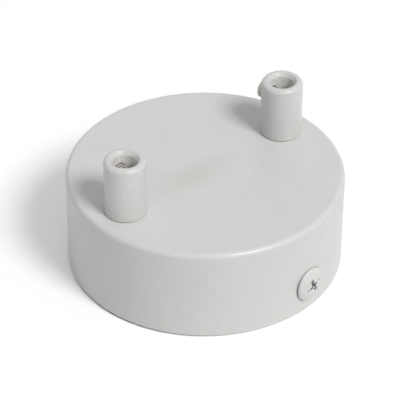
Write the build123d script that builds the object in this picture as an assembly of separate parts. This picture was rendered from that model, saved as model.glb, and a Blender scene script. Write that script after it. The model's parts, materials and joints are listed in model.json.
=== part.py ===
from build123d import *
import math
import os

# Ceiling rose for two hanging lamp cords: a drawn steel cup with a turned cord
# grip over each outlet, held to a bent ceiling bracket by two side screws.
# Millimetres. The open rim lies in the plane z = 0 with its centre at the
# origin, +Z runs from the ceiling side to the cord side, and X runs along the
# bracket and both side screws. "left" is the grip at -Y and "right" the one
# at +Y; "front" is +X and "rear" is -X.

# Canopy
canopy_diameter = 80.0
canopy_height = 28.5
canopy_wall = 1.0
canopy_edge_radius = 1.5
rim_edge_radius = 0.25

# Cord outlets, as far apart as their washers allow
washer_to_wall = 1.0
outlet_angle = 84.0  # degrees from X to the line through both outlets
outlet_clearance = 0.2

# Cord grips
grip_diameter = 12.0
grip_height = 17.6
grip_edge_radius = 1.2
grip_foot_chamfer = 0.25
grip_mouth_radius = 4.2
grip_mouth_depth = 1.1
grip_thread_runout = 0.5  # tapped past the end of the nipple
cord_bore_radius = 3.4

# Hollow threaded nipples with their washers and nuts
nipple_radius = 5.0
nipple_reach_in_grip = 7.0
nipple_tail = 2.0
washer_radius = 8.5
washer_thickness = 0.9
washer_tooth_count = 14
washer_tooth_gap = 1.3
washer_tooth_depth = 2.0
nut_across_flats = 14.0
nut_thickness = 3.0
nut_chamfer_angle = 30.0  # degrees

# Clamp screws in the cord grips, each turned its own way with its grip
left_clamp_angle = 162.0  # degrees from X to the side the head is on
right_clamp_angle = 184.0
clamp_height = 12.2  # above the canopy face
clamp_screw_radius = 2.0
clamp_screw_length = 8.0
clamp_head_radius = 2.8
clamp_head_rim = 0.5
clamp_head_dome = 1.0
clamp_head_gap = 0.05
clamp_slot_width = 0.8
clamp_slot_depth = 0.8

# Side screws through the canopy wall
side_screw_height = 8.8
side_screw_radius = 2.0
side_screw_length = 6.0
side_head_radius = 5.2
side_head_rim = 0.7
side_head_dome = 1.3
side_head_gap = 0.1
side_hole_clearance = 0.3
cross_length = 4.6
cross_width = 1.0
cross_depth = 1.5
cross_taper = 8.0  # degrees

# Ceiling bracket, bent from one strip
strip_thickness = 1.5
strip_width = 18.0
strip_bend_radius = 2.25  # on the centre line of the strip
bridge_half_length = 21.5
bridge_rise = 3.5
foot_start = 25.5
ear_clearance = 0.25
ear_width = 12.0
ear_height = 14.5
ear_corner_radius = 4.0
ear_neck_length = 3.4  # narrow stretch of the strip inboard of the ear's outer face
ceiling_slot_spacing = 60.0
ceiling_slot_length = 7.0
ceiling_slot_radius = 2.2

# Terminal block
pole_pitch = 10.0
pole_count = 3
block_centre_x = -5.5
block_width = 17.0
web_height = 3.6
pole_wall = 1.0
pole_gap = 1.2
insert_axis_height = 5.2
insert_radius = 2.7
insert_length = 15.0
wire_bore_radius = 1.6
insert_clearance = 0.1
wire_screw_offset = 4.2
wire_screw_radius = 1.5
wire_head_radius = 1.9
wire_head_height = 1.3
wire_screw_travel = 2.4
wire_tip_gap = 0.15
wire_slot_width = 0.6
wire_slot_depth = 0.7
chimney_clearance = 0.3  # round the head of a wire screw
chimney_wall = 1.0
chimney_height = 13.0
block_screw_radius = 1.25
block_screw_length = 10.0
block_seat_height = 7.8
block_head_radius = 2.2
block_head_height = 1.4
block_hole_clearance = 0.15
block_head_clearance = 0.25

# Bonding screw on the bridge
earth_screw_offset = 6.0  # from the front end of the terminal block
earth_screw_radius = 2.0
earth_screw_length = 5.0
earth_head_radius = 3.5
earth_head_rim = 1.2
earth_head_dome = 0.8
earth_washer_side = 8.0
earth_washer_thickness = 0.9
earth_washer_corner = 0.8
earth_washer_clearance = 0.3

# Gap between a screw and the hole that is tapped for it
thread_clearance = 0.05

canopy_radius = canopy_diameter / 2
canopy_inner_radius = canopy_radius - canopy_wall
canopy_ceiling = canopy_height - canopy_wall
outlet_reach = canopy_inner_radius - washer_to_wall - washer_radius
outlet_hole_radius = nipple_radius + outlet_clearance
grip_radius = grip_diameter / 2
grip_thread_depth = nipple_reach_in_grip + grip_thread_runout
side_hole_radius = side_screw_radius + side_hole_clearance
bridge_top = bridge_rise + strip_thickness
insert_axis_z = bridge_top + insert_axis_height
insert_cavity_radius = insert_radius + insert_clearance
chimney_bore_radius = wire_head_radius + chimney_clearance
chimney_radius = chimney_bore_radius + chimney_wall
block_length = pole_pitch * pole_count
earth_screw_x = block_centre_x + block_length / 2 + earth_screw_offset
earth_washer_hole_radius = earth_screw_radius + earth_washer_clearance


def outlet_centre(side):
    """Plan position of an outlet; side is -1 for left and +1 for right."""
    angle = math.radians(outlet_angle)
    return side * outlet_reach * math.cos(angle), side * outlet_reach * math.sin(angle)


def rod(radius, low, high, x=0.0, y=0.0):
    """Upright cylinder between two heights."""
    return Pos(x, y, low) * Cylinder(radius, high - low, align=(Align.CENTER, Align.CENTER, Align.MIN))


def slab(size_x, size_y, low, high, x=0.0, y=0.0):
    """Upright box between two heights, centred in plan."""
    return Pos(x, y, low) * Box(size_x, size_y, high - low, align=(Align.CENTER, Align.CENTER, Align.MIN))


def top_edges(solid):
    """Edges at the highest level of a solid."""
    return solid.edges().group_by(Axis.Z)[-1]


def bottom_edges(solid):
    """Edges at the lowest level of a solid."""
    return solid.edges().group_by(Axis.Z)[0]


def domed_head(radius, rim, dome):
    """Round head standing on z = 0: a short rim under a shallow dome."""
    profile = Line((0, 0), (radius, 0)) + Line((radius, 0), (radius, rim))
    profile += ThreePointArc((radius, rim), dome_point(radius, rim, dome), (0, rim + dome))
    profile += Line((0, rim + dome), (0, 0))
    return revolve(Plane.XZ * make_face(profile), Axis.Z)


def dome_point(radius, rim, dome):
    """Point on the dome's arc above half the head radius."""
    sphere = (radius**2 + dome**2) / (2 * dome)
    half = radius / 2
    return half, rim + dome - sphere + math.sqrt(sphere**2 - half**2)


def cross_recess(top, depth):
    """Tapered cross-shaped driver recess cut down from the height top."""
    arms = Rectangle(cross_length, cross_width) + Rectangle(cross_width, cross_length)
    return extrude(Pos(0, 0, top) * arms, -depth, taper=cross_taper)


def slot_recess(length, width, top, depth):
    """Straight driver slot cut down from the height top."""
    return slab(length, width, top - depth, top)


def aim_outward(angle, x, y, z, out=0.0):
    """Place what is drawn along Z so that it looks outward at an angle from X, that far from a point."""
    return Pos(x, y, z) * Rot(0, 0, angle) * Rot(0, 90, 0) * Pos(0, 0, out)


def end_angle(end):
    """Angle from X of one end of the bracket; end is +1 for front and -1 for rear."""
    return 90 - 90 * end


def clamp_angle(side):
    """Angle from X of the clamp screw's head in a grip."""
    return left_clamp_angle if side < 0 else right_clamp_angle


def make_canopy():
    """Drawn cup with two outlets in its face and two screw holes in its wall."""
    cup = rod(canopy_radius, 0, canopy_height)
    cup = fillet(top_edges(cup), canopy_edge_radius)
    cavity = rod(canopy_inner_radius, 0, canopy_ceiling)
    cavity = fillet(top_edges(cavity), canopy_edge_radius - canopy_wall)
    cup = fillet(bottom_edges(cup - cavity), rim_edge_radius)
    for side in (-1, 1):
        x, y = outlet_centre(side)
        cup -= rod(outlet_hole_radius, canopy_ceiling, canopy_height, x, y)
    side_bore = Pos(0, 0, side_screw_height) * Rot(0, 90, 0) * Cylinder(side_hole_radius, canopy_diameter)
    return cup - side_bore


def make_grip(side):
    """Turned tube: dished mouth, tapped foot and a tapped hole in its side."""
    x, y = outlet_centre(side)
    grip = fillet(top_edges(rod(grip_radius, 0, grip_height)), grip_edge_radius)
    grip = chamfer(bottom_edges(grip), grip_foot_chamfer)
    grip -= rod(nipple_radius + thread_clearance, 0, grip_thread_depth)
    grip -= rod(cord_bore_radius, 0, grip_height)
    grip -= Pos(0, 0, grip_height - grip_mouth_depth) * Cone(
        cord_bore_radius, grip_mouth_radius, grip_mouth_depth, align=(Align.CENTER, Align.CENTER, Align.MIN)
    )
    bore = rod(clamp_screw_radius + thread_clearance, 0, grip_radius)
    grip -= aim_outward(clamp_angle(side), 0, 0, clamp_height) * bore
    return Pos(x, y, canopy_height) * grip


def make_clamp_screw(side):
    """Small domed screw in the side of a grip."""
    x, y = outlet_centre(side)
    screw = domed_head(clamp_head_radius, clamp_head_rim, clamp_head_dome)
    head_top = clamp_head_rim + clamp_head_dome
    screw -= slot_recess(2 * clamp_head_radius, clamp_slot_width, head_top, clamp_slot_depth)
    screw += rod(clamp_screw_radius, -clamp_screw_length, 0)
    seat = grip_radius + clamp_head_gap
    return aim_outward(clamp_angle(side), x, y, canopy_height + clamp_height, seat) * screw


def make_side_screw(end):
    """Wide domed screw through the canopy wall into an ear of the bracket."""
    screw = domed_head(side_head_radius, side_head_rim, side_head_dome)
    screw -= cross_recess(side_head_rim + side_head_dome, cross_depth)
    screw += rod(side_screw_radius, -side_screw_length, 0)
    return aim_outward(end_angle(end), 0, 0, side_screw_height, canopy_radius + side_head_gap) * screw


def make_nipple(side):
    """Hollow threaded tube from the grip's foot down past the nut."""
    x, y = outlet_centre(side)
    low = canopy_ceiling - washer_thickness - nut_thickness - nipple_tail
    high = canopy_height + nipple_reach_in_grip
    tube = chamfer(rod(nipple_radius, low, high).edges().filter_by(GeomType.CIRCLE), 0.4)
    return Pos(x, y, 0) * (tube - rod(cord_bore_radius, low, high))


def make_lock_washer(side):
    """Flat washer with gaps between its outer teeth."""
    x, y = outlet_centre(side)
    low = canopy_ceiling - washer_thickness
    washer = rod(washer_radius, low, canopy_ceiling) - rod(outlet_hole_radius, low, canopy_ceiling)
    gap = slab(2 * washer_tooth_depth, washer_tooth_gap, low, canopy_ceiling, washer_radius)
    for tooth in range(washer_tooth_count):
        washer -= Rot(0, 0, 360 * tooth / washer_tooth_count) * gap
    return Pos(x, y, 0) * washer


def make_lock_nut(side):
    """Thin hexagon nut with both faces chamfered round the corners."""
    x, y = outlet_centre(side)
    high = canopy_ceiling - washer_thickness
    low = high - nut_thickness
    hexagon = Pos(0, 0, low) * RegularPolygon(nut_across_flats / 2, 6, major_radius=False)
    nut = extrude(hexagon, nut_thickness)
    corner = nut_across_flats / math.sqrt(3)
    run = corner - nut_across_flats / 2
    drop = run * math.tan(math.radians(nut_chamfer_angle))
    blank = chamfer(rod(corner, low, high).edges().filter_by(GeomType.CIRCLE), drop, run)
    return Pos(x, y, 0) * ((nut & blank) - rod(nipple_radius + thread_clearance, low, high))


def ear_reach():
    """Distance from the centre to an ear's outer face, clear of the canopy wall."""
    return math.sqrt(canopy_inner_radius**2 - (ear_width / 2) ** 2) - ear_clearance


def make_bracket():
    """One bent strip: slotted feet, a raised bridge and two tapped ears."""
    half = strip_thickness / 2
    ear = ear_reach() - half
    route = FilletPolyline(
        (-ear, 0, ear_height),
        (-ear, 0, half),
        (-foot_start, 0, half),
        (-bridge_half_length, 0, bridge_rise + half),
        (bridge_half_length, 0, bridge_rise + half),
        (foot_start, 0, half),
        (ear, 0, half),
        (ear, 0, ear_height),
        radius=strip_bend_radius,
    )
    start = Plane(origin=(-ear, 0, ear_height), z_dir=(0, 0, -1), x_dir=(1, 0, 0))
    strip = sweep(start * Rectangle(strip_thickness, strip_width), path=route)
    for end in (-1, 1):
        strip -= ear_trim(end)
        strip -= Pos(end * ceiling_slot_spacing / 2, 0, 0) * extrude(
            SlotOverall(ceiling_slot_length, 2 * ceiling_slot_radius), strip_thickness
        )
        tapped = rod(side_screw_radius + thread_clearance, 0, canopy_radius)
        strip -= aim_outward(end_angle(end), 0, 0, side_screw_height) * tapped
    for x in block_screw_places():
        strip -= rod(block_screw_radius + thread_clearance, bridge_rise, bridge_top, x)
    return strip - rod(earth_screw_radius + thread_clearance, bridge_rise, bridge_top, earth_screw_x)


def ear_trim(end):
    """What is cut from one end of the strip to leave a rounded ear."""
    zone = slab(2 * ear_neck_length, strip_width + 1, -1, ear_height + 1, end * ear_reach())
    outline = RectangleRounded(ear_width, 2 * ear_height, ear_corner_radius)
    ear = extrude(Plane.YZ * outline, ear_neck_length, both=True)
    return zone - Pos(end * ear_reach(), 0, 0) * ear


def pole_places():
    """X of each pole of the terminal block."""
    first = block_centre_x - pole_pitch * (pole_count - 1) / 2
    return [first + pole_pitch * pole for pole in range(pole_count)]


def block_screw_places():
    """X of the fixing screws, midway between neighbouring poles."""
    poles = pole_places()
    return [(low + high) / 2 for low, high in zip(poles, poles[1:])]


def make_housing():
    """Moulded block: a web, a tunnel for each insert and two screw chimneys on each."""
    block = slab(block_length, block_width, 0, web_height, block_centre_x)
    block = fillet(block.edges().filter_by(Axis.Z), 1.0)
    tunnel_width = pole_pitch - pole_gap
    tunnel_top = insert_axis_height + insert_cavity_radius + pole_wall
    for x in pole_places():
        tunnel = slab(tunnel_width, block_width, 0, tunnel_top, x)
        tunnel = fillet(top_edges(tunnel).filter_by(Axis.Y), 2.2)
        block += tunnel
        for y in (-wire_screw_offset, wire_screw_offset):
            block += rod(chimney_radius, web_height, chimney_height, x, y)
    for x in block_screw_places():
        block += rod(block_head_radius + block_head_clearance, 0, block_seat_height, x)
    for x in pole_places():
        lying = Pos(x, 0, insert_axis_height) * Rot(90, 0, 0)
        block -= lying * Cylinder(insert_cavity_radius, block_width)
        for y in (-wire_screw_offset, wire_screw_offset):
            block -= rod(chimney_bore_radius, insert_axis_height, chimney_height, x, y)
    for x in block_screw_places():
        block -= rod(block_screw_radius + block_hole_clearance, 0, chimney_height, x)
        block -= rod(block_head_radius + block_head_clearance, block_seat_height, chimney_height, x)
    return Pos(0, 0, bridge_top) * block


def make_insert(x):
    """Brass tube with a tapped hole above each end of its wire bore."""
    lying = Pos(x, 0, insert_axis_z) * Rot(90, 0, 0)
    tube = chamfer(Cylinder(insert_radius, insert_length).edges().filter_by(GeomType.CIRCLE), 0.3)
    insert = lying * (tube - Cylinder(wire_bore_radius, insert_length))
    tapped_radius = wire_screw_radius + thread_clearance
    for y in (-wire_screw_offset, wire_screw_offset):
        insert -= rod(tapped_radius, insert_axis_z, insert_axis_z + insert_radius, x, y)
    return insert


def make_wire_screw(x, y):
    """Slotted wire screw, backed off so that its tip clears the wire bore."""
    tip = insert_axis_z + wire_bore_radius + wire_tip_gap
    neck = insert_axis_z + insert_radius + wire_screw_travel + wire_tip_gap
    top = neck + wire_head_height
    screw = rod(wire_screw_radius, tip, neck) + rod(wire_head_radius, neck, top)
    screw -= slot_recess(2 * wire_head_radius, wire_slot_width, top, wire_slot_depth)
    return Pos(x, y, 0) * screw


def make_block_screw(x):
    """Long slotted screw through the block into the bridge."""
    seat = bridge_top + block_seat_height
    top = seat + block_head_height
    screw = rod(block_screw_radius, seat - block_screw_length, seat)
    screw += rod(block_head_radius, seat, top)
    screw -= slot_recess(2 * block_head_radius, wire_slot_width, top, wire_slot_depth)
    return Pos(x, 0, 0) * screw


def make_earth_washer():
    """Square clamp washer under the bonding screw."""
    high = bridge_top + earth_washer_thickness
    plate = slab(earth_washer_side, earth_washer_side, bridge_top, high, earth_screw_x)
    plate = fillet(plate.edges().filter_by(Axis.Z), earth_washer_corner)
    return plate - rod(earth_washer_hole_radius, bridge_top, high, earth_screw_x)


def make_earth_screw():
    """Domed cross-recess screw that clamps the earth wire to the bridge."""
    screw = domed_head(earth_head_radius, earth_head_rim, earth_head_dome)
    screw -= cross_recess(earth_head_rim + earth_head_dome, cross_depth)
    screw += rod(earth_screw_radius, -earth_screw_length, 0)
    return Pos(earth_screw_x, 0, bridge_top + earth_washer_thickness) * screw


def make_pieces():
    """Every piece of the rose by name, at rest in the shared frame."""
    pieces = {"canopy_shell": make_canopy(), "mounting_bracket": make_bracket()}
    for name, side in (("left", -1), ("right", 1)):
        pieces[f"{name}_cord_grip"] = make_grip(side)
        pieces[f"{name}_clamp_screw"] = make_clamp_screw(side)
        pieces[f"{name}_nipple"] = make_nipple(side)
        pieces[f"{name}_lock_washer"] = make_lock_washer(side)
        pieces[f"{name}_lock_nut"] = make_lock_nut(side)
    pieces["front_side_screw"] = make_side_screw(1)
    pieces["rear_side_screw"] = make_side_screw(-1)
    pieces["terminal_housing"] = make_housing()
    for name, x in zip(("live", "neutral", "earth"), pole_places()):
        pieces[f"{name}_insert"] = make_insert(x)
        pieces[f"{name}_supply_screw"] = make_wire_screw(x, -wire_screw_offset)
        pieces[f"{name}_lamp_screw"] = make_wire_screw(x, wire_screw_offset)
    for name, x in zip(("outer", "inner"), block_screw_places()):
        pieces[f"block_screw_{name}"] = make_block_screw(x)
    pieces["earth_washer"] = make_earth_washer()
    pieces["earth_screw"] = make_earth_screw()
    return pieces


def main():
    os.makedirs("parts", exist_ok=True)
    for name, piece in make_pieces().items():
        export_step(piece, f"parts/{name}.step")


main()
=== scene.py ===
import json
import math

import bmesh
import bpy
from mathutils import Matrix, Vector

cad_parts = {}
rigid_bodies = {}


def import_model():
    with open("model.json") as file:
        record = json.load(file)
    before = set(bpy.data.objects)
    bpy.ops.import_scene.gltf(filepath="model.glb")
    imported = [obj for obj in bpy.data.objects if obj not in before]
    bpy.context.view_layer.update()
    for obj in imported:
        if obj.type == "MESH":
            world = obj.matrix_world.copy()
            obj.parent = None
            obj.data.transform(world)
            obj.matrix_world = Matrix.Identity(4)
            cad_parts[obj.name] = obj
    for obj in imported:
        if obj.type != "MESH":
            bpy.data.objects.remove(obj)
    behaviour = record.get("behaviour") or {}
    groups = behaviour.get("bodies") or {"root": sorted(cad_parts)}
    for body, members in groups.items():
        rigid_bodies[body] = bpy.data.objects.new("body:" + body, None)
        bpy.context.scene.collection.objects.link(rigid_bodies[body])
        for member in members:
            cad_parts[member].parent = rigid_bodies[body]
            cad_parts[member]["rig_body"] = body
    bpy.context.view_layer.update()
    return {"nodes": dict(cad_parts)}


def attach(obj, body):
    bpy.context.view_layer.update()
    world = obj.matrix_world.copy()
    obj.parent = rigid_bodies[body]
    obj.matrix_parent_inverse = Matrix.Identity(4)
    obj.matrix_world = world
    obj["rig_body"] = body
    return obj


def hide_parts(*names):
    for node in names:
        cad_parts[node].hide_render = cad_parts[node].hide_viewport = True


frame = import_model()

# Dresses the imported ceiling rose. Sizes are in millimetres, as in the part's own
# source, and turned into metres when a mesh is finished. Screws, cord grips,
# nipples and lock washers are made again here with threads, slots and soft
# edges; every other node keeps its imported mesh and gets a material.

MM = 0.001

# Camera and light, set from the photograph
CAMERA_PLACE = (344.79, -376.27, 402.54)
CAMERA_AIM = (-1.06, -0.97, 17.49)
CAMERA_ROLL = 0.214  # degrees
CAMERA_LENS = 199.06
CAMERA_SENSOR = 36.0
KEY_AZIMUTH = -3.2  # degrees from +X
KEY_ELEVATION = 48.0
KEY_WIDTH = 19.5  # degrees across, which sets how soft the shadows are
KEY_STRENGTH = 2.08
KEY_COLOUR = (1.0, 0.99, 0.972)
FILL_LOW = 0.08  # fill from the horizon
FILL_HIGH = 0.63  # fill from straight above

# Floor
FLOOR_DEPTH = 0.5  # under the middle of the rim; the rose rests on its +X side
FLOOR_RISE = (0.0116, 0.0018)  # rise per mm along X and Y
FLOOR_HALF = 3000.0  # half the floor's width
FLOOR_COLOUR = (0.86, 0.86, 0.86)
FLOOR_LIFT = 0.20  # added outside the rim where the camera, gloss or glass sees the floor
RIM_RADIUS = 40.0
RIM_BLEND = 0.4  # width over which the lift sets in

# Places on the rose
CANOPY_FACE = 28.5
CANOPY_CEILING = 27.5  # underside of the canopy face
OUTLETS = {"left": (-3.0836, -29.3384), "right": (3.0836, 29.3384)}
POLES = {"live": -15.5, "neutral": -5.5, "earth": 4.5}  # along X
BLOCK_SCREWS = {"outer": -10.5, "inner": -0.5}  # along X
BLOCK_TOP = 12.8  # under the block screws' heads
WIRE_SEAT = 15.45  # under the wire screws' heads
WIRE_OFFSET = 4.2  # along Y
BOND_PLACE = (15.5, 0.0, 5.9)
SIDE_HEIGHT = 8.8
SIDE_SEAT = 40.1  # rose's axis to a side screw's seat

# Grips, with heights above the canopy face
GRIP_RADIUS = 6.0
GRIP_HEIGHT = 17.598
GROOVE_IN, GROOVE_UP = 0.5, 0.32  # fine groove round the foot
MOUTH_RADIUS = 4.2
MOUTH_DEPTH = 1.1
CORD_BORE = 3.4  # radius
CORD_BORE_FOOT = 7.5  # the grip is bored for the nipple up to here
NIPPLE_BORE = 5.05  # radius
CLAMP_HEIGHT = 12.2
CLAMP_ANGLES = {"left": 162.0, "right": 184.0}
CLAMP_SEAT = 6.05  # grip's axis to the wide end of the cone under a clamp screw's head
CLAMP_CONE = 0.8  # depth, at 45 degrees
CLAMP_HEAD = 2.8  # radius
CLAMP_HOLE = ((1.0, 2.05), (5.2, 2.05), (CLAMP_SEAT, 2.9), (6.4, 2.95))  # (distance, radius)
NIPPLE_RADIUS = 5.0
NIPPLE_REACH = 7.0  # nipple above the canopy face
NIPPLE_END = 2.0  # nipple below its nut
NUT_THICK = 3.0
WASHER_THICK = 0.9

# Paint
PAINT_CLOUDS = ((0.650, 0.650, 0.645), (0.672, 0.672, 0.667))
PAINT_GRAIN = (0.615, 0.613, 0.607)
PAINT_SPECK = (0.33, 0.32, 0.31)
CHIP_AND_SHADE_DARK = (0.035, 0.032, 0.03)  # near black: chipped paint and painted shade deep in a recess, and painted shade under a painted head
SHADED_UNDERSIDE_MARK = -1.0  # crest value that marks that underside for its painted shade
# Painted shadow on the canopy's face: a faint, slightly warm, darker band
SHADOW_BAND_TONE = (0.50, 0.485, 0.465)
SHADOW_BAND_SHARE = 0.35
SHADOW_BAND_ENDS = ((-2.3, -17.6), (1.5, 7.6))  # ends of the painted shadow band on the face, as seen from above
SHADOW_BAND_REACH = 8.0

# Mesh detail
ROUND_STEPS = 5  # steps round a soft corner
MERGE = 0.0004  # points nearer than this become one


# Meshes

def round_corners(corners, closed=False):
    """Profile points from corners (radius, height, rounding)."""
    points = []
    count = len(corners)
    for index, (radius, height, rounding) in enumerate(corners):
        here = Vector((radius, height))
        if rounding == 0 or (not closed and index in (0, count - 1)):
            points.append(here)
            continue
        before = (Vector(corners[index - 1][:2]) - here).normalized()
        after = (Vector(corners[(index + 1) % count][:2]) - here).normalized()
        half = before.angle(after) / 2
        centre = here + (before + after).normalized() * rounding / math.sin(half)
        start = here + before * rounding / math.tan(half) - centre
        end = here + after * rounding / math.tan(half) - centre
        sweep = start.angle(end)
        for step in range(ROUND_STEPS + 1):
            share = step / ROUND_STEPS
            mixed = start * math.sin((1 - share) * sweep) + end * math.sin(share * sweep)
            points.append(centre + mixed / math.sin(sweep))
    return points


def skin(columns, closed=False):
    """Closed mesh through columns of (x, y, z, crest); the last column repeats the first."""
    bm = bmesh.new()
    crest = bm.verts.layers.float.new("crest")
    grid = []
    for column in columns:
        line = []
        for x, y, z, value in column:
            vertex = bm.verts.new((x, y, z))
            vertex[crest] = value
            line.append(vertex)
        if closed:
            line.append(line[0])
        grid.append(line)
    for left, right in zip(grid, grid[1:]):
        for row in range(len(left) - 1):
            bm.faces.new((left[row], right[row], right[row + 1], left[row + 1]))
    bmesh.ops.remove_doubles(bm, verts=bm.verts, dist=MERGE)
    bmesh.ops.recalc_face_normals(bm, faces=bm.faces)
    mesh = bpy.data.meshes.new("piece")
    bm.to_mesh(mesh)
    bm.free()
    return mesh


def turned(profile, count):
    """Mesh of a closed profile revolved about Z."""
    columns = []
    for index in range(count + 1):
        angle = 2 * math.pi * index / count
        cosine, sine = math.cos(angle), math.sin(angle)
        columns.append([(r * cosine, r * sine, z, 1.0) for r, z in profile])
    return skin(columns, closed=True)


# Height of a thread over one pitch: share of the pitch, share of the depth
THREAD_SECTION = (
    (0.0, 0.0), (0.12, 0.0), (0.3, 0.5), (0.46, 0.95),
    (0.53, 1.0), (0.6, 0.95), (0.76, 0.5), (0.94, 0.0),
)
THREAD_DEPTH = 0.6  # share of the pitch


def thread_rows(turn, low, high, major, pitch):
    """(radius, height, crest) up a thread at turn, a share of a full turn about its axis."""
    depth = THREAD_DEPTH * pitch
    minor = major - depth
    rows = []
    for winding in range(-2, int((high - low) / pitch) + 2):
        for share, lift in THREAD_SECTION:
            height = low + (winding + share + turn) * pitch
            height = min(max(height, low), high)
            limit = minor + min(height - low, high - height)  # runs out at 45 degrees
            radius = min(minor + depth * lift, limit)
            rows.append((radius, height, (radius - minor) / depth))
    return rows


def threaded(low, high, major, pitch, count, before, after, closed=False, sink=None, under=1.0):
    """Thread between two heights, with fixed profile points before and after it.

    sink gives the depth of a recess at a place on the head, and under is the crest value at
    height 0, on the head's underside.
    """
    columns = []
    for index in range(count + 1):
        turn = index / count
        cosine, sine = math.cos(2 * math.pi * turn), math.sin(2 * math.pi * turn)
        column = [(r * cosine, r * sine, z, 1.0) for r, z in before]
        for r, z, crest in thread_rows(turn, low, high, major, pitch):
            column.append((r * cosine, r * sine, z, crest))
        for r, z in after:
            x, y = r * cosine, r * sine
            drop = sink(x, y) if sink else 0.0
            column.append((x, y, z - drop, under if z == 0 else 1.0 - min(1.0, drop)))
        columns.append(column)
    return skin(columns, closed)


def dome_height(radius, rim, dome, r):
    """Height of a domed head's face at distance r from its axis."""
    sphere = (radius ** 2 + dome ** 2) / (2 * dome)
    return rim + dome - sphere + math.sqrt(sphere ** 2 - r ** 2)


def domed_profile(inner, radius, rim, dome, steps, soft, cone=0.0):
    """Head from its shank out and round to its centre: seat, cone if it has one, rim, dome."""
    foot = [(radius - cone, 0, 0.05)] if cone else []
    inward = radius * 0.8  # sets the slope in which the rim's rounding ends
    edge = round_corners([
        (inner, 0, 0), *foot, (radius, cone, 0.12), (radius, rim, soft),
        (inward, dome_height(radius, rim, dome, inward), 0),
    ])
    points = edge[:-1]
    last = points[-1][0]
    for step in range(1, steps + 1):
        r = last * (1 - step / steps)
        points.append(Vector((r, dome_height(radius, rim, dome, r))))
    return points


def cheese_profile(inner, radius, height):
    """Seat, wall and flat face of a cylindrical head."""
    return round_corners([
        (inner, 0, 0), (radius, 0, 0.08), (radius, height, 0.25), (0, height, 0),
    ])


def screw(radius, pitch, length, head, count, sink=None, under=1.0):
    """Threaded shank hanging below its seat at height 0, with a head profile above."""
    tip = [(0, -length)]
    return threaded(-length, 0.0, radius, pitch, count, tip, head, sink=sink, under=under)


def cutter(sections):
    """Closed mesh lofted through rings of points."""
    bm = bmesh.new()
    rings = [[bm.verts.new(point) for point in ring] for ring in sections]
    count = len(rings[0])
    for low, high in zip(rings, rings[1:]):
        for index in range(count):
            following = (index + 1) % count
            bm.faces.new((low[index], low[following], high[following], high[index]))
    bm.faces.new(rings[0])
    bm.faces.new(rings[-1])
    bmesh.ops.recalc_face_normals(bm, faces=bm.faces)
    mesh = bpy.data.meshes.new("cutter")
    bm.to_mesh(mesh)
    bm.free()
    return mesh


def slot_cutter(reach, width, bottom, face, lip):
    """Straight driver slot whose lips follow the face; face gives the height at a distance."""
    sections = []
    steps = 12
    half = width / 2
    for step in range(steps + 1):
        x = reach * (2 * step / steps - 1)
        top = max(face(min(abs(x), reach - 0.02)), bottom + 2 * lip)
        flare = [(x, half + 3 * lip, top + 2 * lip), (x, -half - 3 * lip, top + 2 * lip)]
        sections.append([
            (x, -half, bottom), (x, half, bottom), (x, half, top - lip),
            *flare, (x, -half, top - lip),
        ])
    return cutter(sections)


def cut(mesh, tool):
    """Mesh with another mesh taken away from it."""
    body = bpy.data.objects.new("body", mesh)
    taker = bpy.data.objects.new("taker", tool)
    for item in (body, taker):
        bpy.context.scene.collection.objects.link(item)
    change = body.modifiers.new("cut", "BOOLEAN")
    change.object = taker
    change.operation = "DIFFERENCE"
    change.solver = "EXACT"
    bpy.context.view_layer.update()
    evaluated = body.evaluated_get(bpy.context.evaluated_depsgraph_get())
    result = bpy.data.meshes.new_from_object(evaluated)
    bpy.data.objects.remove(body)
    bpy.data.objects.remove(taker)
    bpy.data.meshes.remove(tool)
    return result


def upright(x, y, z, turn=0.0):
    """Places a piece drawn about Z upright at a point, turned in degrees."""
    return Matrix.Translation((x, y, z)) @ Matrix.Rotation(math.radians(turn), 4, "Z")


def sideways(azimuth, seat, x, y, z, turn=0.0):
    """Places a screw drawn along Z: head out at an azimuth, seat that far from (x, y)."""
    angle = math.radians(azimuth)
    out = Vector((math.cos(angle), math.sin(angle), 0))
    across = Vector((0, 0, 1)).cross(out)
    basis = Matrix((across, Vector((0, 0, 1)), out)).transposed().to_4x4()
    place = Matrix.Translation(Vector((x, y, z)) + out * seat)
    return place @ basis @ Matrix.Rotation(math.radians(turn), 4, "Z")


def dress(node, mesh, place, look, sharp=35.0, second=None, where=None):
    """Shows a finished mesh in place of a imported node, on that node's body.

    The second look goes on the faces whose centres where() accepts.
    """
    mesh = mesh.copy()
    mesh.name = node + "_finished"
    mesh.materials.clear()
    mesh.materials.append(look)
    if second:
        mesh.materials.append(second)
        for face in mesh.polygons:
            face.material_index = int(where(face.center))
    mesh.transform(Matrix.Scale(MM, 4) @ place)
    mesh.shade_smooth()
    mesh.set_sharp_from_angle(angle=math.radians(sharp))
    piece = bpy.data.objects.new(node + "_finished", mesh)
    bpy.context.scene.collection.objects.link(piece)
    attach(piece, frame["nodes"][node]["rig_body"])
    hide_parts(node)


# Materials

def add_node(tree, kind, inputs=None, **settings):
    """New node with its settings, and its inputs linked to sockets or set to values."""
    made = tree.nodes.new(kind)
    for key, value in settings.items():
        setattr(made, key, value)
    for key, value in (inputs or {}).items():
        if isinstance(value, bpy.types.NodeSocket):
            tree.links.new(value, made.inputs[key])
        else:
            made.inputs[key].default_value = value
    return made


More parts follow.
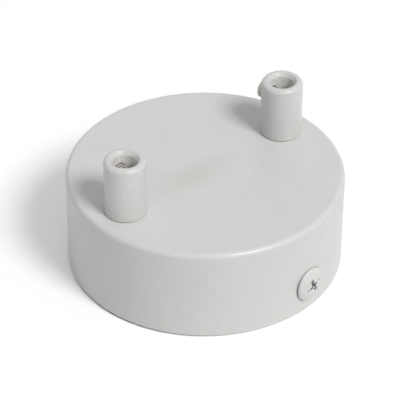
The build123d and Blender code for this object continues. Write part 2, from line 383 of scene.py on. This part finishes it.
class Look:
    """A material, with short calls for the nodes that feed its shader."""

    def __init__(self, name, **fixed):
        self.material = bpy.data.materials.new(name)
        self.material.use_nodes = True
        self.tree = self.material.node_tree
        self.shader = self.tree.nodes["Principled BSDF"]
        for socket, value in fixed.items():
            self.shader.inputs[socket.replace("_", " ")].default_value = value
        self.place = self.node("ShaderNodeTexCoord").outputs["Object"]

    def node(self, kind, inputs=None, **settings):
        return add_node(self.tree, kind, inputs, **settings)

    def noise(self, size, detail=3.0, rough=0.5, stretch=None):
        """Noise whose features are about size mm across."""
        place = self.place
        if stretch:
            mapped = self.node("ShaderNodeMapping", {"Vector": place, "Scale": stretch})
            place = mapped.outputs[0]
        return self.node("ShaderNodeTexNoise", {
            "Vector": place, "Scale": 1 / (size * MM), "Detail": detail, "Roughness": rough,
        }).outputs["Fac"]

    def ramp(self, value, low, high, start=0.0, end=1.0):
        """Value between low and high spread over start to end."""
        return self.node("ShaderNodeMapRange", {
            "Value": value, "From Min": low, "From Max": high, "To Min": start, "To Max": end,
        }, interpolation_type="SMOOTHSTEP").outputs[0]

    def product(self, first, second):
        return self.node("ShaderNodeMath", {0: first, 1: second}, operation="MULTIPLY").outputs[0]

    def largest(self, first, second):
        return self.node("ShaderNodeMath", {0: first, 1: second}, operation="MAXIMUM").outputs[0]

    def blend(self, share, first, second):
        """Colour between two others, each a socket or a plain colour."""
        first, second = ((*end, 1.0) if isinstance(end, tuple) else end for end in (first, second))
        mixed = self.node("ShaderNodeMix", {0: share, 6: first, 7: second}, data_type="RGBA")
        return mixed.outputs[2]

    def specks(self, spacing, size, share):
        """Sparse dots: mm between places, mm across, and the share of places that hold one."""
        scale = 1 / (spacing * MM)
        cells = self.node("ShaderNodeTexVoronoi", {"Vector": self.place, "Scale": scale})
        across = size / spacing
        near = self.ramp(cells.outputs["Distance"], across * 0.35, across * 0.6, 1.0, 0.0)
        chosen = self.node("ShaderNodeSeparateColor", {0: cells.outputs["Color"]}).outputs[0]
        return self.product(near, self.ramp(chosen, 1 - share, 1 - share + 0.01))

    def band_mask(self, ends, reach, most):
        """Soft patch round a line between two places in X and Y; most is its share on the line."""
        (x0, y0), (x1, y1) = ends
        middle = ((x0 + x1) / 2 * MM, (y0 + y1) / 2 * MM, 0.0)
        half = math.hypot(x1 - x0, y1 - y0) / 2
        endless = 1e6  # the patch is the same at every height
        flat = self.node("ShaderNodeMapping", {
            "Vector": self.place, "Location": middle,
            "Rotation": (0.0, 0.0, math.atan2(y1 - y0, x1 - x0)),
            "Scale": ((half + reach) * MM, reach * MM, endless),
        }, vector_type="TEXTURE").outputs[0]
        far = self.node("ShaderNodeVectorMath", {0: flat}, operation="LENGTH").outputs["Value"]
        return self.ramp(far, 0.0, 1.0, most, 0.0)

    def bump(self, height, strength, depth, onto=None):
        """Normal bumped by a height, depth mm at its most."""
        inputs = {"Height": height, "Strength": strength, "Distance": depth * MM}
        if onto:
            inputs["Normal"] = onto
        return self.node("ShaderNodeBump", inputs).outputs[0]

    def edges(self, radius):
        """Normal that rounds sharp edges in the shading, with a radius in mm."""
        return self.node("ShaderNodeBevel", {"Radius": radius * MM}, samples=6).outputs[0]

    def colour(self, value):
        self.tree.links.new(value, self.shader.inputs["Base Color"])

    def roughness(self, value):
        self.tree.links.new(value, self.shader.inputs["Roughness"])

    def normal(self, value):
        self.tree.links.new(value, self.shader.inputs["Normal"])

    def crest(self):
        """1 on a thread's crest and on heads, 0 in its roots and deep in a recess."""
        return self.node("ShaderNodeAttribute", attribute_name="crest").outputs["Fac"]


def make_paint(name, grain_share=0.5, peel=0.45, depth=0.007, in_recess=False, shadow_band=False):
    """Pale grey powder coat: orange peel, faint clouding and grain, and a few dark specks.

    grain_share is how far the grain darkens it, peel and depth (mm) how rough the peel is.
    It can add a painted shadow band across the face, and painted shade deep in a recess,
    where the paint is also chipped, and on a head's underside.
    """
    look = Look(name, Metallic=0.0, IOR=1.5)
    cloud = look.ramp(look.noise(9.0), 0.3, 0.7)
    tone = look.blend(cloud, *PAINT_CLOUDS)
    grain = look.ramp(look.noise(0.45, 2.0), 0.3, 0.7, 0.0, grain_share)
    tone = look.blend(grain, tone, PAINT_GRAIN)
    # painted shadow: a faint darker band across the canopy's face
    if shadow_band:
        tone = look.blend(look.band_mask(SHADOW_BAND_ENDS, SHADOW_BAND_REACH, SHADOW_BAND_SHARE), tone, SHADOW_BAND_TONE)
    tone = look.blend(look.specks(3.2, 0.4, 0.10), tone, PAINT_SPECK)
    # painted shade: near black deep in a recess, where the paint is also chipped, and on the
    # head's underside
    if in_recess:
        deep_recess_shade = look.ramp(look.crest(), 0.45, 0.92, 1.0, 0.0)
        chips_and_shade = look.product(deep_recess_shade, look.ramp(look.noise(0.6, 2.0), 0.46, 0.50))
        bare = look.largest(chips_and_shade, look.ramp(look.crest(), -0.9, -0.3, 1.0, 0.0))
        tone = look.blend(bare, tone, CHIP_AND_SHADE_DARK)
    look.colour(tone)
    look.roughness(look.ramp(look.noise(1.5), 0.3, 0.7, 0.29, 0.35))
    look.normal(look.bump(look.noise(0.8, 1.0), peel, depth))
    return look.material


def make_metal(name, colour, smooth, rough, roots=None, metallic=1.0):
    """Worn metal with fine scratches.

    smooth and rough are its least and most roughness, roots the colour of its thread roots.
    """
    look = Look(name, Metallic=metallic)
    worn = look.ramp(look.noise(1.2, 4.0), 0.35, 0.65)
    tone = look.blend(worn, colour, tuple(0.86 * c for c in colour))
    # darker in the thread roots: grime there, and painted shade in the grooves
    if roots:
        tone = look.blend(look.ramp(look.crest(), 0.25, 0.95, 1.0, 0.0), tone, roots)
    look.colour(tone)
    look.roughness(look.ramp(look.noise(0.35, 3.0), 0.3, 0.7, smooth, rough))
    look.normal(look.bump(look.noise(0.12, 3.0), 0.35, 0.004))
    return look.material


def make_strip_steel(name):
    """Zinc-plated strip: drawn along X, with the patchy bloom of the plating."""
    look = Look(name, Metallic=1.0)
    bloom = look.ramp(look.noise(4.0, 5.0), 0.3, 0.7)
    tone = look.blend(bloom, (0.52, 0.53, 0.54), (0.66, 0.67, 0.68))
    look.colour(tone)
    grain = look.noise(0.3, 3.0, stretch=(0.06, 1.0, 1.0))
    look.roughness(look.ramp(grain, 0.3, 0.7, 0.30, 0.46))
    look.normal(look.bump(grain, 0.3, 0.006, look.edges(0.2)))
    return look.material


def make_brass(name):
    """Sawn and drilled brass with light tarnish."""
    look = Look(name, Metallic=1.0)
    tarnish = look.ramp(look.noise(1.6, 5.0), 0.4, 0.7)
    look.colour(look.blend(tarnish, (0.80, 0.60, 0.30), (0.55, 0.37, 0.17)))
    turning = look.noise(0.25, 3.0, stretch=(1.0, 0.15, 1.0))
    look.roughness(look.ramp(turning, 0.3, 0.7, 0.29, 0.42))
    look.normal(look.bump(turning, 0.25, 0.005, look.edges(0.1)))
    return look.material


def make_plastic(name):
    """Natural moulded plastic with a fine spark finish."""
    look = Look(name, Metallic=0.0, IOR=1.5, Subsurface_Weight=0.15, Subsurface_Scale=0.001)
    flow = look.ramp(look.noise(6.0, 4.0), 0.3, 0.7)
    look.colour(look.blend(flow, (0.80, 0.78, 0.72), (0.84, 0.82, 0.77)))
    look.roughness(look.ramp(look.noise(0.5), 0.3, 0.7, 0.40, 0.52))
    look.normal(look.bump(look.noise(0.12, 2.0), 0.35, 0.005, look.edges(0.25)))
    return look.material


def seen_ray(tree):
    """1 where the camera, gloss or glass looks, 0 where light is gathered."""
    path = add_node(tree, "ShaderNodeLightPath").outputs
    seen = path["Is Camera Ray"]
    for name in ("Is Glossy Ray", "Is Transmission Ray"):
        either = add_node(tree, "ShaderNodeMath", {0: seen, 1: path[name]}, operation="MAXIMUM")
        seen = either.outputs[0]
    return seen


def make_floor():
    """White floor that keeps the shadow and reads as white where it is lit."""
    material = bpy.data.materials.new("floor")
    material.use_nodes = True
    tree = material.node_tree
    tree.nodes.clear()
    place = add_node(tree, "ShaderNodeTexCoord").outputs["Object"]
    distance = add_node(tree, "ShaderNodeVectorMath", {0: place}, operation="LENGTH")
    outside = add_node(tree, "ShaderNodeMapRange", {
        "Value": distance.outputs["Value"],
        "From Min": (RIM_RADIUS - RIM_BLEND) * MM, "From Max": RIM_RADIUS * MM,
    })
    shown = add_node(tree, "ShaderNodeMath", {
        0: seen_ray(tree), 1: outside.outputs[0],
    }, operation="MULTIPLY")
    lift = add_node(tree, "ShaderNodeMath", {
        0: shown.outputs[0], 1: FLOOR_LIFT,
    }, operation="MULTIPLY")
    glow = add_node(tree, "ShaderNodeEmission", {"Strength": lift.outputs[0]})
    diffuse = add_node(tree, "ShaderNodeBsdfDiffuse", {"Color": (*FLOOR_COLOUR, 1)})
    both = add_node(tree, "ShaderNodeAddShader", {0: diffuse.outputs[0], 1: glow.outputs[0]})
    add_node(tree, "ShaderNodeOutputMaterial", {"Surface": both.outputs[0]})
    half = FLOOR_HALF * MM
    rise_x, rise_y = FLOOR_RISE
    mesh = bpy.data.meshes.new("floor")
    corners = [(-half, -half), (half, -half), (half, half), (-half, half)]
    places = [(x, y, rise_x * x + rise_y * y - FLOOR_DEPTH * MM) for x, y in corners]
    mesh.from_pydata(places, [], [(0, 1, 2, 3)])
    mesh.materials.append(material)
    floor = bpy.data.objects.new("floor", mesh)
    bpy.context.scene.collection.objects.link(floor)


def make_world():
    """Fill light that grows from the horizon up to straight above, seen as white."""
    world = bpy.data.worlds.new("studio")
    bpy.context.scene.world = world
    world.use_nodes = True
    tree = world.node_tree
    back = tree.nodes["Background"]
    back.inputs["Color"].default_value = (1, 1, 1, 1)
    direction = add_node(tree, "ShaderNodeTexCoord").outputs["Generated"]
    height = add_node(tree, "ShaderNodeSeparateXYZ", {0: direction}).outputs["Z"]
    fill = add_node(tree, "ShaderNodeMapRange", {
        "Value": height, "To Min": FILL_LOW, "To Max": FILL_HIGH,
    })
    level = add_node(tree, "ShaderNodeMapRange", {
        "Value": seen_ray(tree), "To Min": fill.outputs[0], "To Max": 1.0,
    })
    tree.links.new(level.outputs[0], back.inputs["Strength"])


def make_key():
    """Broad key light from the right front."""
    lamp = bpy.data.lights.new("key", "SUN")
    lamp.energy = KEY_STRENGTH
    lamp.color = KEY_COLOUR
    lamp.angle = math.radians(KEY_WIDTH)
    azimuth, elevation = math.radians(KEY_AZIMUTH), math.radians(KEY_ELEVATION)
    level = math.cos(elevation)
    toward = Vector((level * math.cos(azimuth), level * math.sin(azimuth), math.sin(elevation)))
    key = bpy.data.objects.new("key", lamp)
    key.rotation_euler = toward.to_track_quat("Z", "Y").to_euler()
    key.location = toward
    bpy.context.scene.collection.objects.link(key)


def make_camera():
    """Camera at the photograph's viewing angle."""
    data = bpy.data.cameras.new("camera")
    data.lens = CAMERA_LENS
    data.sensor_width = CAMERA_SENSOR
    camera = bpy.data.objects.new("camera", data)
    place, aim = Vector(CAMERA_PLACE) * MM, Vector(CAMERA_AIM) * MM
    facing = (aim - place).to_track_quat("-Z", "Y").to_matrix().to_4x4()
    roll = Matrix.Rotation(math.radians(CAMERA_ROLL), 4, "Z")
    camera.matrix_world = Matrix.Translation(place) @ facing @ roll
    bpy.context.scene.collection.objects.link(camera)
    bpy.context.scene.camera = camera


# Pieces

def grip_mesh():
    """Turned grip: soft outer lip, dished mouth, cord bore, nipple bore and clamp screw hole."""
    profile = round_corners([
        (NIPPLE_BORE, 0.0, 0.05), (GRIP_RADIUS - GROOVE_IN, 0.0, 0.08),
        (GRIP_RADIUS, GROOVE_UP, 0.08), (GRIP_RADIUS, GRIP_HEIGHT, 1.2),
        (MOUTH_RADIUS, GRIP_HEIGHT, 0.28), (CORD_BORE, GRIP_HEIGHT - MOUTH_DEPTH, 0.35),
        (CORD_BORE, CORD_BORE_FOOT, 0.1), (NIPPLE_BORE, CORD_BORE_FOOT, 0.1),
    ], closed=True)
    hole = []
    sides = 32
    for distance, radius in CLAMP_HOLE:
        ring = []
        for side in range(sides):
            angle = 2 * math.pi * side / sides
            y, z = radius * math.cos(angle), radius * math.sin(angle)
            ring.append((-distance, y, CLAMP_HEIGHT + z))
        hole.append(ring)
    return cut(turned(profile, count=96), cutter(hole))


def nipple_mesh():
    """Threaded tube from below the nut up into the grip."""
    low = CANOPY_CEILING - WASHER_THICK - NUT_THICK - NIPPLE_END
    high = CANOPY_FACE + NIPPLE_REACH
    bevel = 0.2
    before = [(CORD_BORE, low + bevel), (CORD_BORE + bevel, low)]
    after = [(CORD_BORE + bevel, high), (CORD_BORE, high - bevel)]
    return threaded(low, high, NIPPLE_RADIUS, pitch=1.0, count=72, before=before, after=after,
                    closed=True)


def lock_washer_mesh():
    """Ring with twisted outer teeth, its underside at height 0.

    Each tooth has a sector of two columns over the gap and then six over the tooth. The first
    ring of radii is the whole ring, the others are the teeth.
    """
    teeth, across = 14, 6
    radii = (5.2, 6.5, 7.2, 7.9, 8.5)
    half_gap, half_thick, twist, taper = 0.65, 0.35, 0.34, 0.075
    columns = across + 2
    pitch = 2 * math.pi / teeth
    bm = bmesh.new()
    made = {}

    def corner(column, row, side):
        column %= teeth * columns
        if (column, row, side) not in made:
            radius, step = radii[row], column % columns
            edge = math.asin(half_gap / max(radius, radii[1]))
            share = 1.0 if step == 0 else max(0.0, (step - 2) / across)
            angle = edge * (step - 1) if step <= 2 else edge + (pitch - 2 * edge) * share
            out = max(0.0, (radius - radii[1]) / (radii[-1] - radii[1]))
            height = WASHER_THICK / 2 + twist * (share - 0.5) * out
            height += side * (half_thick - taper * out)
            angle += pitch * (column // columns)
            x, y = radius * math.cos(angle), radius * math.sin(angle)
            made[column, row, side] = bm.verts.new((x, y, height))
        return made[column, row, side]

    cells = set()
    for column in range(teeth * columns):
        reach = 1 if column % columns < 2 else len(radii) - 1
        cells.update((column, row) for row in range(reach))
    borders = (  # the two corners of a cell's side, and the way to the cell beyond it
        ((0, 0), (0, 1), (-1, 0)), ((1, 0), (1, 1), (1, 0)),
        ((0, 0), (1, 0), (0, -1)), ((0, 1), (1, 1), (0, 1)),
    )
    for column, row in sorted(cells):
        for side in (-1, 1):
            corners = ((0, 0), (0, 1), (1, 1), (1, 0))
            bm.faces.new([corner(column + a, row + b, side) for a, b in corners])
        for first, last, beyond in borders:
            if ((column + beyond[0]) % (teeth * columns), row + beyond[1]) not in cells:
                start, end = [(column + a, row + b) for a, b in (first, last)]
                bm.faces.new([
                    corner(*start, -1), corner(*end, -1), corner(*end, 1), corner(*start, 1),
                ])
    bmesh.ops.recalc_face_normals(bm, faces=bm.faces)
    mesh = bpy.data.meshes.new("piece")
    bm.to_mesh(mesh)
    bm.free()
    return mesh


def cross_sink(reach, half_width, depth, soft):
    """Depth of a cross recess under a face, as a function of the place on it."""
    def step(value):
        value = min(1.0, max(0.0, value))
        return value * value * (3 - 2 * value)

    def arm(along, across):
        side = step((half_width + soft - abs(across)) / (2 * soft))
        end = step((reach + soft - abs(along)) / (2.4 * soft))
        return side * end * (1 - 0.45 * min(1.0, abs(along) / reach))

    return lambda x, y: depth * max(arm(x, y), arm(y, x))


def clamp_screw_mesh():
    """Domed, slotted screw with a cone under its head."""
    rim, dome = CLAMP_CONE + 0.8, 0.7

    def face(r):
        return dome_height(CLAMP_HEAD, rim, dome, min(r, CLAMP_HEAD - 0.02))

    head = domed_profile(inner=1.4, radius=CLAMP_HEAD, rim=rim, dome=dome, steps=10, soft=0.25,
                         cone=CLAMP_CONE)
    body = screw(radius=2.0, pitch=1.0, length=8.0 - CLAMP_CONE, head=head, count=48)
    slot = slot_cutter(reach=3.0, width=0.8, bottom=CLAMP_CONE + 0.7, face=face, lip=0.06)
    return cut(body, slot)


def side_screw_mesh():
    """Wide domed screw with a shallow, paint-filled cross recess."""
    sink = cross_sink(reach=2.45, half_width=0.5, depth=1.0, soft=0.22)
    head = domed_profile(inner=1.5, radius=5.1, rim=0.7, dome=1.3, steps=40, soft=0.5)
    # the underside of its head is marked for painted shade
    return screw(radius=2.0, pitch=0.7, length=6.0, head=head, count=144, sink=sink,
                 under=SHADED_UNDERSIDE_MARK)


def bond_screw_mesh():
    """Domed screw with a cross recess."""
    sink = cross_sink(reach=2.3, half_width=0.5, depth=1.4, soft=0.09)
    head = domed_profile(inner=1.5, radius=3.5, rim=1.2, dome=0.8, steps=30, soft=0.2)
    return screw(radius=2.0, pitch=0.7, length=5.0, head=head, count=144, sink=sink)


def slotted_screw_mesh(radius, pitch, length, inner, head, height, bottom):
    """Screw with a cylindrical head, and a slot across it down to bottom."""
    body = screw(radius, pitch, length, cheese_profile(inner, head, height), count=40)
    slot = slot_cutter(head + 0.2, width=0.6, bottom=bottom, face=lambda r: height, lip=0.05)
    return cut(body, slot)


def make_screws(looks):
    """Every screw, with its thread and head."""
    clamp = clamp_screw_mesh()
    for side, (x, y) in OUTLETS.items():
        seat, height = CLAMP_SEAT - CLAMP_CONE, CANOPY_FACE + CLAMP_HEIGHT
        place = sideways(CLAMP_ANGLES[side], seat, x, y, height, turn=95.0)
        dress(side + "_clamp_screw", clamp, place, looks["bare"])

    side_screw = side_screw_mesh()
    for node, azimuth in (("front_side_screw", 0.0), ("rear_side_screw", 180.0)):
        place = sideways(azimuth, SIDE_SEAT, 0, 0, SIDE_HEIGHT, turn=23.0)
        dress(node, side_screw, place, looks["painted_screw"],
              second=looks["zinc"], where=lambda centre: centre.z < 0)

    # The slots of the wire and block screws stand at different angles
    wire = slotted_screw_mesh(radius=1.5, pitch=0.5, length=3.35, inner=1.15, head=1.9,
                              height=1.3, bottom=0.6)
    for pole, x in POLES.items():
        for use, y in (("supply", -WIRE_OFFSET), ("lamp", WIRE_OFFSET)):
            place = upright(x, y, WIRE_SEAT, turn=37.0 * (x + y))
            dress(f"{pole}_{use}_screw", wire, place, looks["zinc"])
    block = slotted_screw_mesh(radius=1.25, pitch=0.45, length=10.0, inner=0.95, head=2.2,
                               height=1.4, bottom=0.7)
    for name, x in BLOCK_SCREWS.items():
        place = upright(x, 0, BLOCK_TOP, turn=50.0 * x)
        dress("block_screw_" + name, block, place, looks["zinc"])

    place = upright(*BOND_PLACE, turn=28.0)
    dress("earth_screw", bond_screw_mesh(), place, looks["zinc"])


def in_cord_bore(centre):
    """Whether a face of the grip lies on the wall of its cord bore."""
    across = math.hypot(centre.x, centre.y)
    return across < CORD_BORE + 0.02 and centre.z > CORD_BORE_FOOT + 0.1


def make_grips(looks):
    """Cord grips with their nipples and lock washers."""
    grip, nipple, washer = grip_mesh(), nipple_mesh(), lock_washer_mesh()
    for side, (x, y) in OUTLETS.items():
        place = upright(x, y, CANOPY_FACE, CLAMP_ANGLES[side] - 180)
        # the cord bore's wall takes the lighter paint, which is painted light
        dress(side + "_cord_grip", grip, place, looks["paint"], sharp=50.0,
              second=looks["bore"], where=in_cord_bore)
        dress(side + "_nipple", nipple, upright(x, y, 0), looks["zinc_thread"])
        place = upright(x, y, CANOPY_CEILING - WASHER_THICK)
        dress(side + "_lock_washer", washer, place, looks["washer"])


def finish_node(name, look):
    """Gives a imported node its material."""
    mesh = frame["nodes"][name].data
    mesh.materials.clear()
    mesh.materials.append(look)


looks = {
    # the shell's paint carries the painted shadow band across its face
    "shell": make_paint("shell_paint", shadow_band=True),
    "paint": make_paint("grip_paint", grain_share=1.0, peel=1.0, depth=0.013),
    "painted_screw": make_paint("screw_paint", in_recess=True),
    "bare": make_metal("bare_steel", (0.62, 0.61, 0.55), 0.42, 0.58,
                       roots=(0.05, 0.035, 0.025), metallic=0.35),
    "zinc": make_metal("zinc_screw", (0.62, 0.63, 0.65), 0.29, 0.42, roots=(0.20, 0.20, 0.20)),
    "zinc_thread": make_metal("zinc_tube", (0.60, 0.60, 0.60), 0.30, 0.42,
                              roots=(0.22, 0.22, 0.21)),
    "washer": make_metal("spring_steel", (0.36, 0.36, 0.37), 0.30, 0.45),
    # painted light: the cord bore's wall in a lighter copy of the grip's paint, for light reaching
    # into the bore
    "bore": make_metal("bore_painted_light", (0.80, 0.795, 0.785), 0.40, 0.50, metallic=0.0),
    "strip": make_strip_steel("zinc_strip"),
    "plastic": make_plastic("block_plastic"),
    "brass": make_brass("brass"),
}

make_camera()
make_key()
make_world()
make_floor()
make_grips(looks)
make_screws(looks)
finish_node("canopy_shell", looks["shell"])
finish_node("mounting_bracket", looks["strip"])
finish_node("terminal_housing", looks["plastic"])
finish_node("earth_washer", looks["strip"])
for pole in POLES:
    finish_node(pole + "_insert", looks["brass"])
for side in OUTLETS:
    finish_node(side + "_lock_nut", looks["strip"])

bpy.context.scene.view_settings.view_transform = "Standard"
